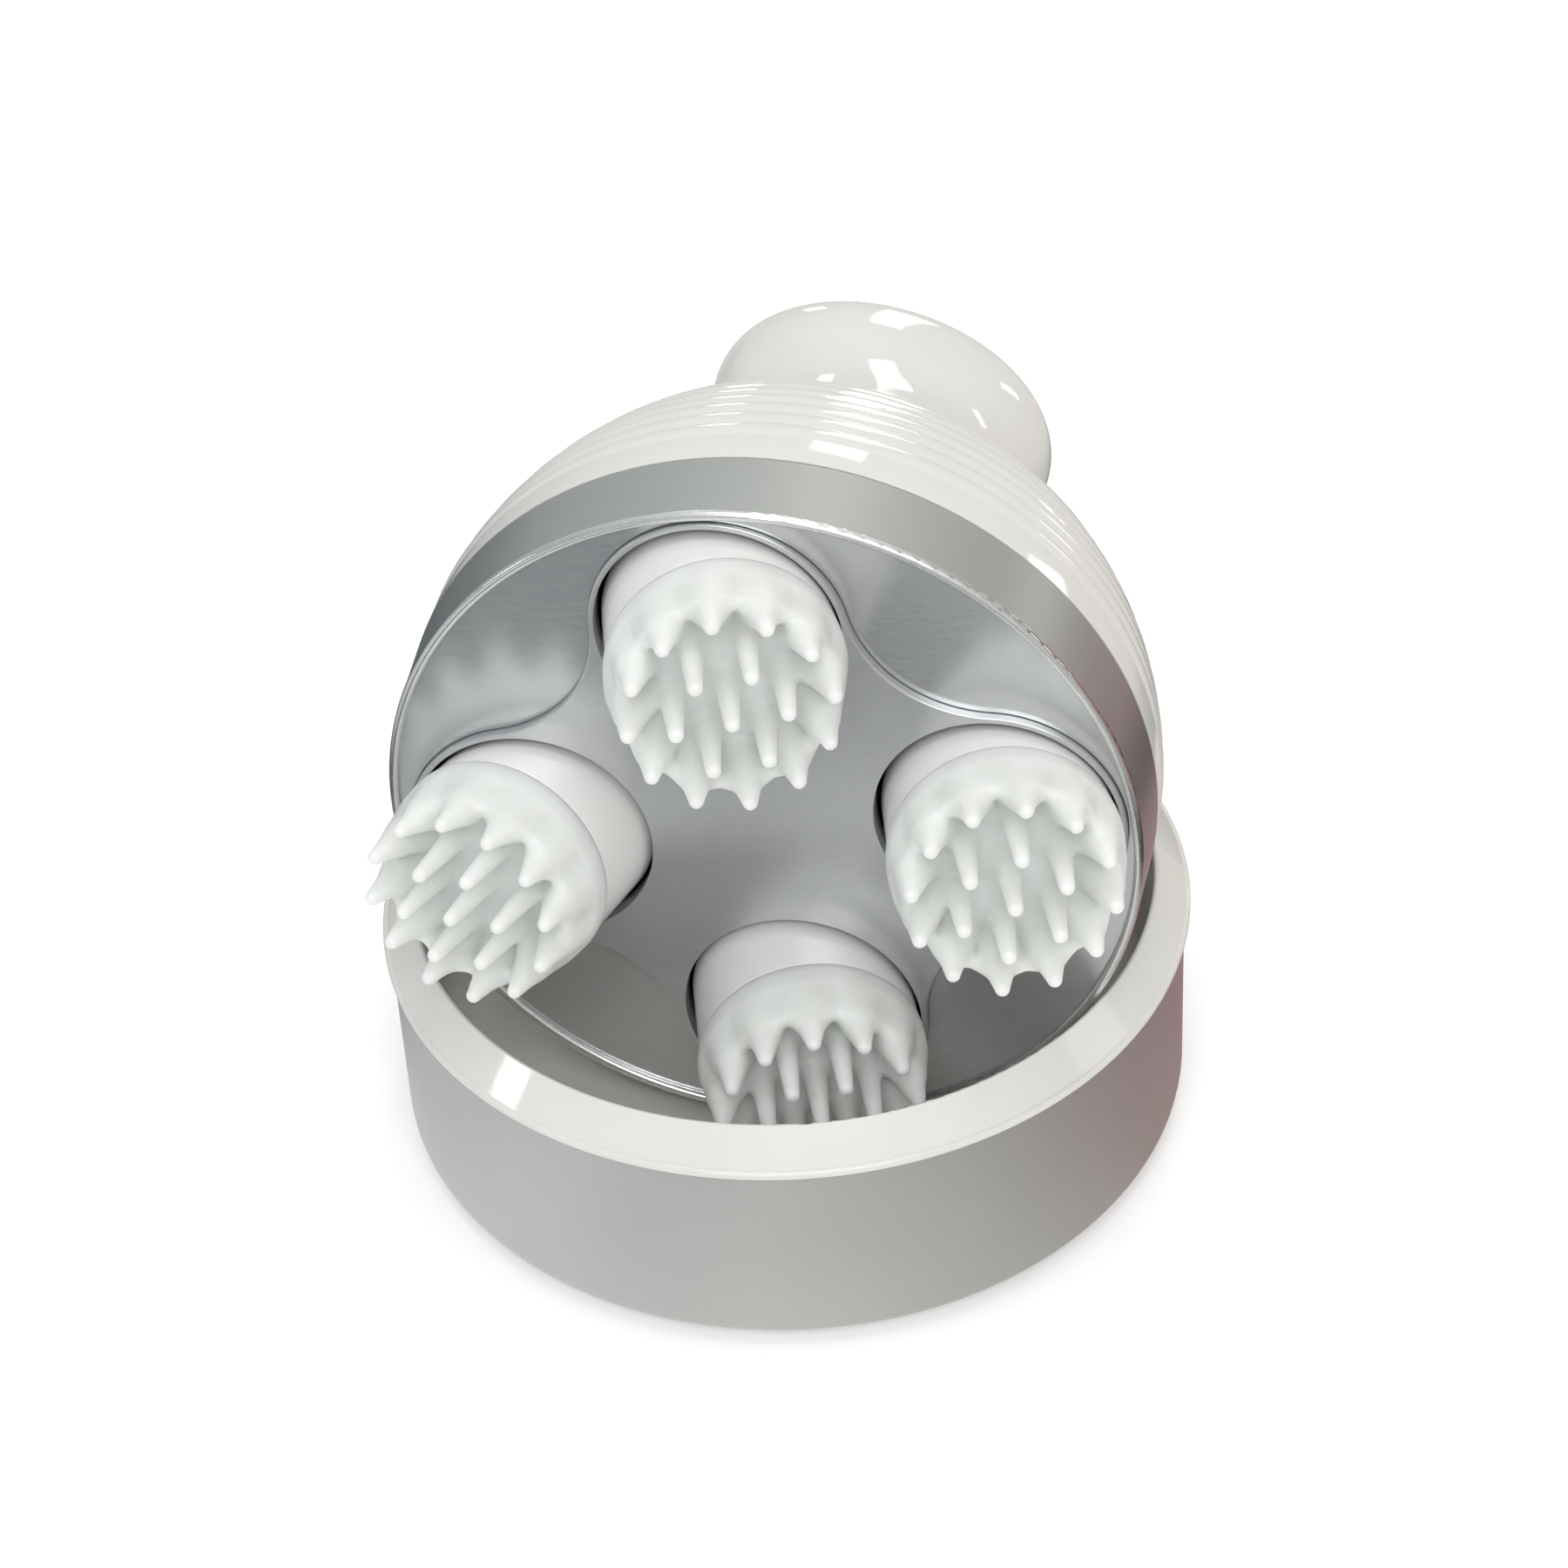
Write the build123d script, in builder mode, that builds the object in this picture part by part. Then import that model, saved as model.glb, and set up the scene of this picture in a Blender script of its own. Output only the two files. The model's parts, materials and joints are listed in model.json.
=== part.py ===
from build123d import *

import os
from math import acos, cos, pi, radians, sin, sqrt, tan

# Electric scalp massager lying across its round stand. Millimetres, +Z up. The origin is the centre
# of the stand's foot, on the surface that it stands on.

# ---------------------------------------------------------------- driving dimensions

# Stand
rim_width = 4.9
rim_rise = 5.6
rim_skirt = 1.2
rim_lip = 0.7
rim_overhang = 0.8
rim_edge = 0.3
rim_spigot = 3.0
drum_bottom = 0.8
drum_wall = 1.6
drum_floor = 1.8
drum_edge = 3.6
liner_wall = 1.2
liner_floor_height = 9.2
liner_corner = 3.0
foot_margin = 0.6
foot_width = 6.0
foot_recess = 0.7
ballast_inset = 13.0
stand_screw_circle = 32.0
stand_screw_count = 3

# How the massager lies in the stand
face_x = -2.5
face_y = -19.7
turn_left = 12.6
lean_back = 1.4
floor_gap = 0.45
side_gap = 0.2
neck_gap = 0.5

# Massager housing. Depths are measured backwards from the face.
band_radius = 49.0
band_length = 11.2
band_wall = 1.65
band_flare = 0.45
bead_nose = 0.3
face_depth = 3.0
petal_depth = 0.7
petal_dish = 0.7
recess_depth = 1.7
panel_depth = 0.1
panel_edge = 0.3
panel_groove = 0.15
lobe_land = 0.7
lobe_blend = 17.5
lobe_edge = 0.55
gasket_thickness = 0.3
dome_length = 54.7
dome_wall = 2.2
dome_spigot = 3.0
dome_spigot_wall = 2.0
ridge_count = 7
ridge_start = 17.0
ridge_pitch = 3.4
ridge_height = 0.35
neck_radius = 20.6
neck_blend = 4.0
neck_run = 3.9
neck_straight = 6.0
knob_wall = 2.0
knob_turn = -18.0
knob_long_half = 24.8
knob_short_half = 18.6
knob_waist = 0.7
knob_widest = 27.5
knob_length = 35.5
knob_round = 4.2
crown_rise = 2.3
crown_inset = 3.6
crown_plug = 3.0
plug_wall = 1.2

# Heads
pattern_turn = 7.8
head_names = ["right", "top", "left", "bottom"]
head_lean = 16.0
head_lean_directions = [32.0, 19.0, 160.0, -8.0]
finger_phases = [23.0, 8.0, 7.0, 2.0]
head_gap = 0.3
collar_radius = 14.4
collar_wall = 1.6
collar_foot = -6.0
collar_web = 2.0
collar_top = 7.8
pad_radius = 14.4
pad_plug = 3.6
pad_floor = 12.2
pad_wall = 2.9
pad_valley = 16.8
pad_shoulder = 1.6
outer_finger_count = 12
outer_root_circle = 11.3
outer_root_drop = 1.2
outer_finger_circle = 12.5
outer_finger_root = 3.05
outer_finger_tip = 0.9
outer_finger_end = 21.4
inner_finger_count = 6
inner_finger_circle = 6.8
inner_finger_root = 1.6
inner_finger_tip = 0.95
inner_finger_end = 23.3
tip_rounding = 0.85

# Gear train
sun_teeth = 38
head_teeth = 24
pressure_angle = 20.0
tooth_addendum = 0.8
tooth_dedendum = 1.0
backlash = 0.12
gear_width = 4.0
gear_gap = 0.5
hub_radius = 5.0
hub_top = 3.2
axle_radius = 2.5
axle_top = 9.6
running_gap = 0.05
cover_clearance = 0.45
cover_thickness = 1.4
cover_edge_gap = 0.8
seal_width = 0.9
chassis_thickness = 2.5
chassis_edge_gap = 0.9
washer_thickness = 0.3
pillar_radius = 3.4
pillar_inset = 6.0
boss_inset = 5.2
boss_radius = 3.2

# Drive and electrics
shaft_radius = 2.0
bush_radius = 4.0
gearbox_radius = 12.5
gearbox_length = 11.5
motor_radius = 12.0
motor_length = 22.0
motor_boss_radius = 4.0
motor_boss_length = 1.5
motor_screw_circle = 8.75
standoff_length = 17.3
board_thickness = 1.6
board_edge_gap = 6.5
board_bore_gap = 2.5
standoff_inset = 5.0
standoff_flats = 5.0
standoff_count = 3
cell_radius = 8.25
cell_gap = 1.3
cell_end_gap = 0.2
cradle_wall = 1.2
cradle_flange = 3.0
socket_width = 8.94
socket_height = 3.2
socket_length = 7.3
socket_wall = 0.35
socket_set = 4.0
socket_recess = 0.4
socket_gap = 0.2
socket_tongue = (6.6, 0.7, 5.0)
socket_board_size = (13.0, 4.6, 1.0)
switch_size = 6.0
switch_height = 3.0
switch_board_width = 14.0
switch_board_thickness = 1.2
plunger_radius = 1.5
plunger_length = 0.7
button_radius = 7.0
button_proud = 0.7
button_flange = 1.6
button_flange_thickness = 0.8
button_stem_radius = 1.6
button_stem_length = 2.25
button_travel = 1.0
button_gap = 0.3
light_inner_radius = 8.1
light_width = 1.2
light_depth = 1.0

# Screws
screw_radius = 1.25
screw_head_radius = 2.3
screw_head_height = 1.6
head_screw_radius = 1.5
head_screw_head = 2.75
head_screw_head_height = 2.0
head_screw_length = 5.6
screw_bite = 0.9
boss_screw_length = 8.0
motor_screw_length = 5.0

# ---------------------------------------------------------------- sizes that follow

def dome_radius(depth, inset=0.0):
    """The dome is half an ellipse, longer than it is wide."""
    share = (depth - dome_start) / (dome_length - inset)
    return (band_radius - inset) * sqrt(1 - share**2)


def dome_depth(radius, inset=0.0):
    """The depth at which the dome has come in to a radius."""
    share = radius / (band_radius - inset)
    return dome_start + (dome_length - inset) * sqrt(1 - share**2)


# A collar leans about a point in the middle of the face plate's thickness, so its sweep in the hole
# is the same at both faces of the plate.
pivot_depth = face_depth / 2
collar_sweep = collar_radius / cos(radians(head_lean)) + pivot_depth * tan(radians(head_lean))
hole_radius = collar_sweep + head_gap
lobe_radius = hole_radius + lobe_land
band_bore = band_radius - band_wall
bead_radius = band_radius - band_flare
head_circle = band_bore - lobe_edge - lobe_radius
head_angles = [pattern_turn + 90 * index for index in range(len(head_names))]
diagonal_turn = pattern_turn + 45

# The neck crosses the back of the rim, and the band stands on the liner's floor.
dome_start = band_length + gasket_thickness
neck_seam = dome_depth(neck_radius) + neck_run
band_drop = band_radius * cos(radians(lean_back)) + band_length * sin(radians(lean_back))
face_z = liner_floor_height + floor_gap + band_drop
rim_inner_radius = band_radius + side_gap
rim_crossing = (rim_inner_radius - face_y) / cos(radians(turn_left)) / cos(radians(lean_back))
rim_height = face_z - rim_crossing * sin(radians(lean_back)) - neck_radius - neck_gap
stand_radius = rim_inner_radius + rim_width
drum_height = rim_height - rim_rise
rim_shoulder = drum_height + rim_skirt
drum_radius = stand_radius - rim_overhang
drum_bore = drum_radius - drum_wall
foot_radius = drum_radius - drum_edge - foot_margin - foot_width / 2
ballast_radius = stand_radius - ballast_inset
liner_outer = rim_inner_radius + liner_wall

# Depths of the gear train
collar_reach = collar_radius * sin(radians(head_lean)) - collar_foot * cos(radians(head_lean)) + pivot_depth
cover_front = collar_reach + cover_clearance
cover_back = cover_front + cover_thickness
gear_front = cover_back + gear_gap
gear_back = gear_front + gear_width
gear_module = 2 * head_circle / (sun_teeth + head_teeth)
chassis_front = gear_back + washer_thickness + gear_gap / 2
chassis_back = chassis_front + chassis_thickness
hub_back = chassis_front - washer_thickness - running_gap
chassis_radius = dome_radius(chassis_back, dome_wall) - chassis_edge_gap
boss_circle = chassis_radius - boss_inset
pillar_circle = boss_circle - pillar_inset

# Depths of the motor, the cell and the switch
gearbox_back = chassis_back + gearbox_length
motor_back = gearbox_back + motor_length
board_depth = chassis_back + standoff_length
board_radius = dome_radius(board_depth + board_thickness, dome_wall) - board_edge_gap
standoff_circle = board_radius - standoff_inset
cell_front = motor_back + motor_boss_length + cell_gap
socket_depth = neck_seam + socket_set
crown_seat = neck_seam + knob_length
crown_top = crown_seat + crown_rise
button_face = crown_top + button_proud
flange_back = crown_seat - button_gap
stem_front = flange_back - button_flange_thickness - button_stem_length
plunger_end = stem_front - button_travel - running_gap
switch_front = plunger_end - plunger_length - switch_height
switch_board_front = switch_front - switch_board_thickness
cell_length = switch_board_front - cell_end_gap - cell_front

# ---------------------------------------------------------------- planes


def turned(plane, x=0.0, y=0.0, z=0.0):
    """The plane, turned about its own axes by angles in degrees."""
    return Plane(plane.location * Rotation(x, y, z))


# The face plane's z points out of the face, away from the body. Its y is up.
upright_face = Plane(origin=(face_x, face_y, face_z), x_dir=(1, 0, 0), z_dir=(0, -1, 0))
face_plane = turned(turned(upright_face, y=-turn_left), x=-lean_back)
main_axis = Axis(face_plane.origin, face_plane.z_dir)

# In this plane x is the distance from the massager's axis, and y is the depth behind the face.
body_section = Plane(origin=face_plane.origin, x_dir=face_plane.x_dir, z_dir=face_plane.y_dir)


def at_depth(depth):
    """The plane across the massager's axis at a depth behind the face."""
    return face_plane.offset(-depth)


def outward_section(plane):
    """The plane along another plane's z: x is the distance from its axis, y the height above it."""
    return Plane(origin=plane.origin, x_dir=plane.x_dir, z_dir=-plane.y_dir)


def spindle_plane(index):
    """The face plane, moved to a head's spindle."""
    angle = radians(head_angles[index])
    centre = face_plane.from_local_coords((head_circle * cos(angle), head_circle * sin(angle), 0))
    return Plane(origin=centre, x_dir=face_plane.x_dir, z_dir=face_plane.z_dir)


def lean_plane(index):
    """The plane of a head's leaning axis, at the point where it crosses the spindle."""
    pivot_plane = spindle_plane(index).offset(-pivot_depth)
    return turned(turned(pivot_plane, z=head_lean_directions[index]), y=head_lean)


def save(part, name):
    part.label = name
    export_step(part, f"parts/{name}.step")


# ---------------------------------------------------------------- shared outlines


def lobed_outline(grow=0.0):
    """Four lobes round the heads, joined by hollow curves that are tangent to them."""
    lobe = lobe_radius + grow
    blend = lobe_blend - grow
    half = head_circle / sqrt(2)
    blend_centre = half + sqrt((lobe + blend) ** 2 - half**2)
    corners = []
    for angle in head_angles:
        corners.append((head_circle * cos(radians(angle)), head_circle * sin(radians(angle))))
        corners.append((blend_centre * cos(radians(angle + 45)), blend_centre * sin(radians(angle + 45))))
    Polygon(*corners, align=None)
    with PolarLocations(blend_centre, 4, start_angle=diagonal_turn):
        Circle(blend, mode=Mode.SUBTRACT)
    with PolarLocations(head_circle, 4, start_angle=pattern_turn):
        Circle(lobe)


def flank_angle(radius, teeth):
    """Half of a tooth's angle at a radius, in radians, for involute flanks."""
    pitch_radius = teeth * gear_module / 2
    base_radius = pitch_radius * cos(radians(pressure_angle))
    local_pressure = acos(min(1.0, base_radius / radius))
    rolled = tan(radians(pressure_angle)) - radians(pressure_angle) - tan(local_pressure) + local_pressure
    return (pi * gear_module / 2 - backlash) / 2 / pitch_radius + rolled


def gear_outline(teeth, turn):
    """A spur gear with one tooth's middle at the angle turn."""
    pitch_radius = teeth * gear_module / 2
    root_radius = pitch_radius - tooth_dedendum * gear_module
    tip_radius = pitch_radius + tooth_addendum * gear_module
    flank = [(radius, flank_angle(radius, teeth)) for radius in (root_radius, pitch_radius, tip_radius)]
    upper = [(radius * cos(angle), radius * sin(angle)) for radius, angle in flank]
    lower = [(x, -y) for x, y in upper]
    inside = root_radius - tooth_dedendum * gear_module / 2
    with BuildSketch(mode=Mode.PRIVATE) as tooth:
        with BuildLine():
            ThreePointArc(*upper)
            Line(upper[2], lower[2])
            ThreePointArc(lower[2], lower[1], lower[0])
            Polyline(lower[0], (inside, lower[0][1]), (inside, upper[0][1]), upper[0])
        make_face()
    Circle(root_radius)
    with PolarLocations(0, teeth, start_angle=turn):
        add(tooth.sketch)


def head_gear_turn(angle):
    """Where a head gear's tooth points, so that it meshes with a sun tooth that points along x."""
    return angle + 180 + (angle * sun_teeth / 360 + 0.5) * 360 / head_teeth


def finger(start, end, root_place, tip_place, root, tip):
    """A silicone finger with a rounded tip, for a pad that stands along z."""
    with BuildPart() as shape:
        with BuildSketch(Plane.XY.offset(start)):
            with Locations((root_place, 0)):
                Circle(root)
        with BuildSketch(Plane.XY.offset(end)):
            with Locations((tip_place, 0)):
                Circle(tip)
        loft()
        fillet(shape.edges().filter_by(GeomType.CIRCLE).sort_by(Axis.Z)[-1], tip * tip_rounding)
    return shape.part


def knob_loft(inset, seat_inset):
    """The knob, drawn through ovals from the round neck to the flat seat of its crown."""
    waist_depth = (neck_straight + knob_widest) / 2 - knob_waist * 2
    ovals = [
        (0, neck_radius, neck_radius),
        (neck_straight, neck_radius, neck_radius),
        (waist_depth, (neck_radius + knob_long_half) / 2 - knob_waist * 2.2,
         (neck_radius + knob_short_half) / 2 - knob_waist * 1.6),
        (knob_widest, knob_long_half, knob_short_half),
        (knob_length - knob_round * 0.6, knob_long_half - knob_round * 0.35,
         knob_short_half - knob_round * 0.35),
    ]
    sections = []
    for depth, long_half, short_half in ovals:
        with BuildSketch(at_depth(neck_seam + depth)) as section:
            Ellipse(long_half - inset, short_half - inset, rotation=knob_turn)
        sections.append(section.sketch)
    with BuildSketch(at_depth(crown_seat)) as seat:
        Ellipse(knob_long_half - knob_round - seat_inset, knob_short_half - knob_round - seat_inset,
                rotation=knob_turn)
    loft(sections + [seat.sketch])


def pan_screws(plane, radius, head_radius, head_height, length, places):
    """Screws with cylindrical heads. The heads stand on the plane, and the shanks go below it."""
    with BuildSketch(plane) as heads:
        with places():
            Circle(head_radius)
    extrude(heads.sketch, amount=head_height)
    with BuildSketch(plane) as shanks:
        with places():
            Circle(radius)
    extrude(shanks.sketch, amount=-length)


os.makedirs("parts", exist_ok=True)

# ================================================================ stand

# Silver drum: an open can with a rounded bottom edge and a groove for the foot
with BuildPart() as drum:
    with BuildSketch(Plane.XZ) as drum_outline:
        with BuildLine():
            Polyline((0, drum_bottom), (drum_radius, drum_bottom), (drum_radius, drum_height),
                     (drum_bore, drum_height), (drum_bore, drum_bottom + drum_floor),
                     (0, drum_bottom + drum_floor), close=True)
        make_face()
        inner_corner = drum_outline.vertices().group_by(Axis.Y)[1].sort_by(Axis.X)[-1]
        fillet(inner_corner, drum_edge - drum_wall)
        outer_corner = drum_outline.vertices().group_by(Axis.Y)[0].sort_by(Axis.X)[-1]
        fillet(outer_corner, drum_edge)
    revolve(axis=Axis.Z)
    with BuildSketch(Plane.XY.offset(drum_bottom)):
        Circle(foot_radius + foot_width / 2)
        Circle(foot_radius - foot_width / 2, mode=Mode.SUBTRACT)
    extrude(amount=foot_recess, mode=Mode.SUBTRACT)
    with BuildSketch(Plane.XY.offset(drum_bottom)):
        with PolarLocations(stand_screw_circle, stand_screw_count):
            Circle(screw_head_radius)
    extrude(amount=drum_floor / 2, mode=Mode.SUBTRACT)
    with BuildSketch(Plane.XY.offset(drum_bottom)):
        with PolarLocations(stand_screw_circle, stand_screw_count):
            Circle(screw_radius)
    extrude(amount=drum_floor, mode=Mode.SUBTRACT)
save(drum.part, "drum")

# Rubber foot ring, pressed into the drum's groove
with BuildPart() as foot_ring:
    with BuildSketch(Plane.XY):
        Circle(foot_radius + foot_width / 2)
        Circle(foot_radius - foot_width / 2, mode=Mode.SUBTRACT)
    extrude(amount=drum_bottom + foot_recess)
    fillet(foot_ring.edges().group_by(Axis.Z)[0], drum_bottom / 2)
save(foot_ring.part, "foot_ring")

# Steel plate that keeps the stand from tipping
liner_bottom = liner_floor_height - liner_wall
with BuildPart() as ballast_plate:
    with BuildSketch(Plane.XY.offset(drum_bottom + drum_floor)):
        Circle(ballast_radius)
        with PolarLocations(stand_screw_circle, stand_screw_count):
            Circle(screw_radius, mode=Mode.SUBTRACT)
    extrude(amount=liner_bottom - drum_bottom - drum_floor)
save(ballast_plate.part, "ballast_plate")

# Grey inner cup that the massager's edge stands in
liner_top = drum_height + rim_lip
with BuildPart() as cup_liner:
    with BuildSketch(Plane.XZ):
        with BuildLine():
            Polyline((0, liner_bottom), (liner_outer, liner_bottom), (liner_outer, liner_top),
                     (rim_inner_radius, liner_top), (rim_inner_radius, liner_floor_height),
                     (0, liner_floor_height), close=True)
        make_face()
    revolve(axis=Axis.Z)
    corners = cup_liner.edges().filter_by(GeomType.CIRCLE)
    fillet(corners.filter_by_position(Axis.Z, liner_bottom, liner_bottom), liner_corner + liner_wall)
    corners = cup_liner.edges().filter_by(GeomType.CIRCLE)
    fillet(corners.filter_by_position(Axis.Z, liner_floor_height, liner_floor_height), liner_corner)
    with BuildSketch(Plane.XY.offset(liner_bottom)):
        with PolarLocations(stand_screw_circle, stand_screw_count):
            Circle(screw_radius)
    extrude(amount=liner_wall * 0.75, mode=Mode.SUBTRACT)
save(cup_liner.part, "cup_liner")

# Glossy white rim: its top slopes out and down to the seam, and a spigot drops inside the drum
with BuildPart() as rim_ring:
    lip_top = (rim_inner_radius + rim_lip, rim_height)
    lip_side = (rim_inner_radius, rim_height - rim_lip)
    lip_middle = (rim_inner_radius + rim_lip * (1 - sqrt(0.5)), rim_height - rim_lip * (1 - sqrt(0.5)))
    shoulder_start = (stand_radius - rim_skirt / 2, rim_shoulder)
    shoulder_middle = (stand_radius - rim_skirt / 8, rim_shoulder - rim_skirt / 6)
    with BuildSketch(Plane.XZ):
        with BuildLine():
            ThreePointArc(lip_side, lip_middle, lip_top)
            Line(lip_top, shoulder_start)
            ThreePointArc(shoulder_start, shoulder_middle, (stand_radius, rim_shoulder - rim_skirt / 2))
            Polyline((stand_radius, rim_shoulder - rim_skirt / 2), (stand_radius, drum_height + rim_edge),
                     (stand_radius - rim_edge, drum_height), (drum_bore, drum_height),
                     (drum_bore, drum_height - rim_spigot),
                     (liner_outer, drum_height - rim_spigot), (liner_outer, liner_top),
                     (rim_inner_radius, liner_top), lip_side)
        make_face()
    revolve(axis=Axis.Z)
save(rim_ring.part, "rim_ring")

# Screws through the drum and the ballast into the liner
with BuildPart() as stand_screws:
    pan_screws(turned(Plane.XY.offset(drum_bottom + drum_floor / 2), x=180), screw_radius,
               screw_head_radius, drum_floor / 2, liner_bottom - drum_bottom - drum_floor / 2 + liner_wall * 0.75,
               lambda: PolarLocations(stand_screw_circle, stand_screw_count))
save(stand_screws.part, "stand_screws")

# ================================================================ massager housing

# Satin silver band whose front edge is rolled into a bead
with BuildPart() as silver_band:
    bead_middle = (bead_radius + band_bore) / 2
    bead_back = (bead_radius - band_bore) / 2
    with BuildSketch(body_section):
        with BuildLine():
            ThreePointArc((band_bore, bead_back), (bead_middle, -bead_nose), (bead_radius, bead_back))
            Polyline((bead_radius, bead_back), (band_radius, band_length), (band_bore, band_length),
                     (band_bore, bead_back))
        make_face()
    revolve(axis=main_axis)
save(silver_band.part, "silver_band")

# Satin face plate: its four petals are dished, and a lobed recess takes the panel
with BuildPart() as face_plate:
    with BuildSketch(body_section):
        with BuildLine():
            ThreePointArc((lobe_radius, petal_depth),
                          ((lobe_radius + band_bore) / 2, petal_depth + petal_dish),
                          (band_bore, petal_depth))
            Polyline((band_bore, petal_depth), (band_bore, face_depth), (0, face_depth),
                     (0, petal_depth), (lobe_radius, petal_depth))
        make_face()
    revolve(axis=main_axis)
    with BuildSketch(at_depth(recess_depth)):
        lobed_outline(panel_groove)
    extrude(amount=recess_depth, mode=Mode.SUBTRACT)
    with BuildSketch(at_depth(face_depth)):
        with PolarLocations(head_circle, 4, start_angle=pattern_turn):
            Circle(hole_radius)
    extrude(amount=face_depth, mode=Mode.SUBTRACT)
    with BuildSketch(at_depth(face_depth)):
        with PolarLocations(pillar_circle, 4, start_angle=diagonal_turn):
            Circle(screw_radius)
    extrude(amount=screw_bite, mode=Mode.SUBTRACT)
save(face_plate.part, "face_plate")

# Satin panel with four lobes, laid in the recess, its edge rounded over
with BuildPart() as face_panel:
    with BuildSketch(at_depth(recess_depth)):
        lobed_outline()
    extrude(amount=recess_depth - panel_depth)
    fillet(face_panel.faces().sort_by(main_axis)[-1].edges(), panel_edge)
    with BuildSketch(at_depth(recess_depth)):
        with PolarLocations(head_circle, 4, start_angle=pattern_turn):
            Circle(hole_radius)
    extrude(amount=recess_depth, mode=Mode.SUBTRACT)
save(face_panel.part, "face_panel")

# Thin rubber gasket between the band and the dome
with BuildPart() as seam_gasket:
    with BuildSketch(at_depth(dome_start)):
        Circle(band_radius - gasket_thickness)
        Circle(band_bore, mode=Mode.SUBTRACT)
    extrude(amount=gasket_thickness)
save(seam_gasket.part, "seam_gasket")

# Space inside the dome, less the four bosses that the chassis is screwed to
with BuildPart() as dome_cavity:
    cavity_top = dome_depth(neck_radius - dome_wall, dome_wall)
    cavity_steps = [dome_start + (cavity_top - dome_start) * share for share in (0, 0.3, 0.6, 0.8, 0.92, 1)]
    with BuildSketch(body_section):
        with BuildLine():
            Spline(*[(dome_radius(depth, dome_wall), depth) for depth in cavity_steps])
            Polyline((neck_radius - dome_wall, cavity_top), (neck_radius - dome_wall, neck_seam),
                     (0, neck_seam), (0, dome_start - dome_spigot),
                     (band_bore - dome_spigot_wall, dome_start - dome_spigot),
                     (band_bore - dome_spigot_wall, dome_start), (band_radius - dome_wall, dome_start))
        make_face()
    revolve(axis=main_axis)
    with BuildSketch(at_depth(chassis_back)):
        with PolarLocations(boss_circle, 4, start_angle=diagonal_turn):
            Circle(boss_radius)
            Circle(screw_radius, mode=Mode.SUBTRACT)
    extrude(amount=-dome_length, mode=Mode.SUBTRACT)

# Glossy white dome: a smooth shoulder, seven fine ridges, and a hollow curve into the neck
with BuildPart() as dome_shell:
    ridge_end = ridge_start + ridge_count * ridge_pitch
    dome_end = dome_depth(neck_radius)
    with BuildSketch(body_section):
        with BuildLine():
            Polyline((0, dome_start - dome_spigot), (band_bore, dome_start - dome_spigot),
                     (band_bore, dome_start), (band_radius, dome_start))
            shoulder = [dome_start + (ridge_start - dome_start) * share for share in (0, 0.5, 1)]
            ThreePointArc(*[(dome_radius(depth), depth) for depth in shoulder])
            for ridge in range(ridge_count):
                start = ridge_start + ridge * ridge_pitch
                middle = start + ridge_pitch / 2
                ThreePointArc((dome_radius(start), start), (dome_radius(middle) + ridge_height, middle),
                              (dome_radius(start + ridge_pitch), start + ridge_pitch))
            back = [ridge_end + (dome_end - ridge_end) * share for share in (0, 0.35, 0.7, 1)]
            Spline(*[(dome_radius(depth), depth) for depth in back])
            Polyline((neck_radius, dome_end), (neck_radius, neck_seam), (0, neck_seam),
                     (0, dome_start - dome_spigot))
        make_face()
    revolve(axis=main_axis)
    neck_root = dome_shell.edges().filter_by(GeomType.CIRCLE).sort_by_distance(
        at_depth(dome_end).from_local_coords((neck_radius, 0, 0)))[0]
    fillet(neck_root, neck_blend)
    add(dome_cavity.part, mode=Mode.SUBTRACT)
save(dome_shell.part, "dome_shell")

# Glossy white knob: round at the neck, a slim waist, then a wide oval
socket_plane = Plane(origin=face_plane.from_local_coords((-neck_radius, 0, -socket_depth)),
                     x_dir=face_plane.y_dir, z_dir=-face_plane.x_dir)
with BuildPart() as knob_cavity:
    knob_loft(knob_wall, crown_inset)
with BuildPart() as knob_shell:
    knob_loft(0, 0)
    add(knob_cavity.part, mode=Mode.SUBTRACT)
    with BuildSketch(socket_plane):
        SlotOverall(socket_width + 2 * socket_gap, socket_height + 2 * socket_gap)
    extrude(amount=-2 * knob_wall, mode=Mode.SUBTRACT)
save(knob_shell.part, "knob_shell")

# White crown cap with the button's hole and a groove for the light ring
crown_long = knob_long_half - knob_round
crown_short = knob_short_half - knob_round
with BuildPart() as crown_cap:
    with BuildSketch(at_depth(crown_seat)):
        Ellipse(crown_long, crown_short, rotation=knob_turn)
    extrude(amount=-crown_rise)
    fillet(crown_cap.faces().sort_by(main_axis)[0].edges(), crown_rise * 0.9)
    with BuildSketch(at_depth(crown_seat)):
        Ellipse(crown_long - crown_inset, crown_short - crown_inset, rotation=knob_turn)
        Ellipse(crown_long - crown_inset - plug_wall, crown_short - crown_inset - plug_wall,
                rotation=knob_turn, mode=Mode.SUBTRACT)
    extrude(amount=crown_plug)
    with BuildSketch(at_depth(crown_top)):
        Circle(button_radius + button_gap)
    extrude(amount=crown_rise, mode=Mode.SUBTRACT)
    with BuildSketch(at_depth(crown_top)):
        Circle(light_inner_radius + light_width)
        Circle(light_inner_radius, mode=Mode.SUBTRACT)
    extrude(amount=light_depth, mode=Mode.SUBTRACT)
save(crown_cap.part, "crown_cap")

# Frosted ring that glows round the button
with BuildPart() as light_ring:
    with BuildSketch(at_depth(crown_top)):
        Circle(light_inner_radius + light_width)
        Circle(light_inner_radius, mode=Mode.SUBTRACT)
    extrude(amount=light_depth)
save(light_ring.part, "light_ring")

# ================================================================ gear train


def pillar_places():
    return PolarLocations(pillar_circle, 4, start_angle=diagonal_turn)


def boss_places():
    return PolarLocations(boss_circle, 4, start_angle=diagonal_turn)


def spindle_places():
    return PolarLocations(head_circle, 4, start_angle=pattern_turn)


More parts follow.
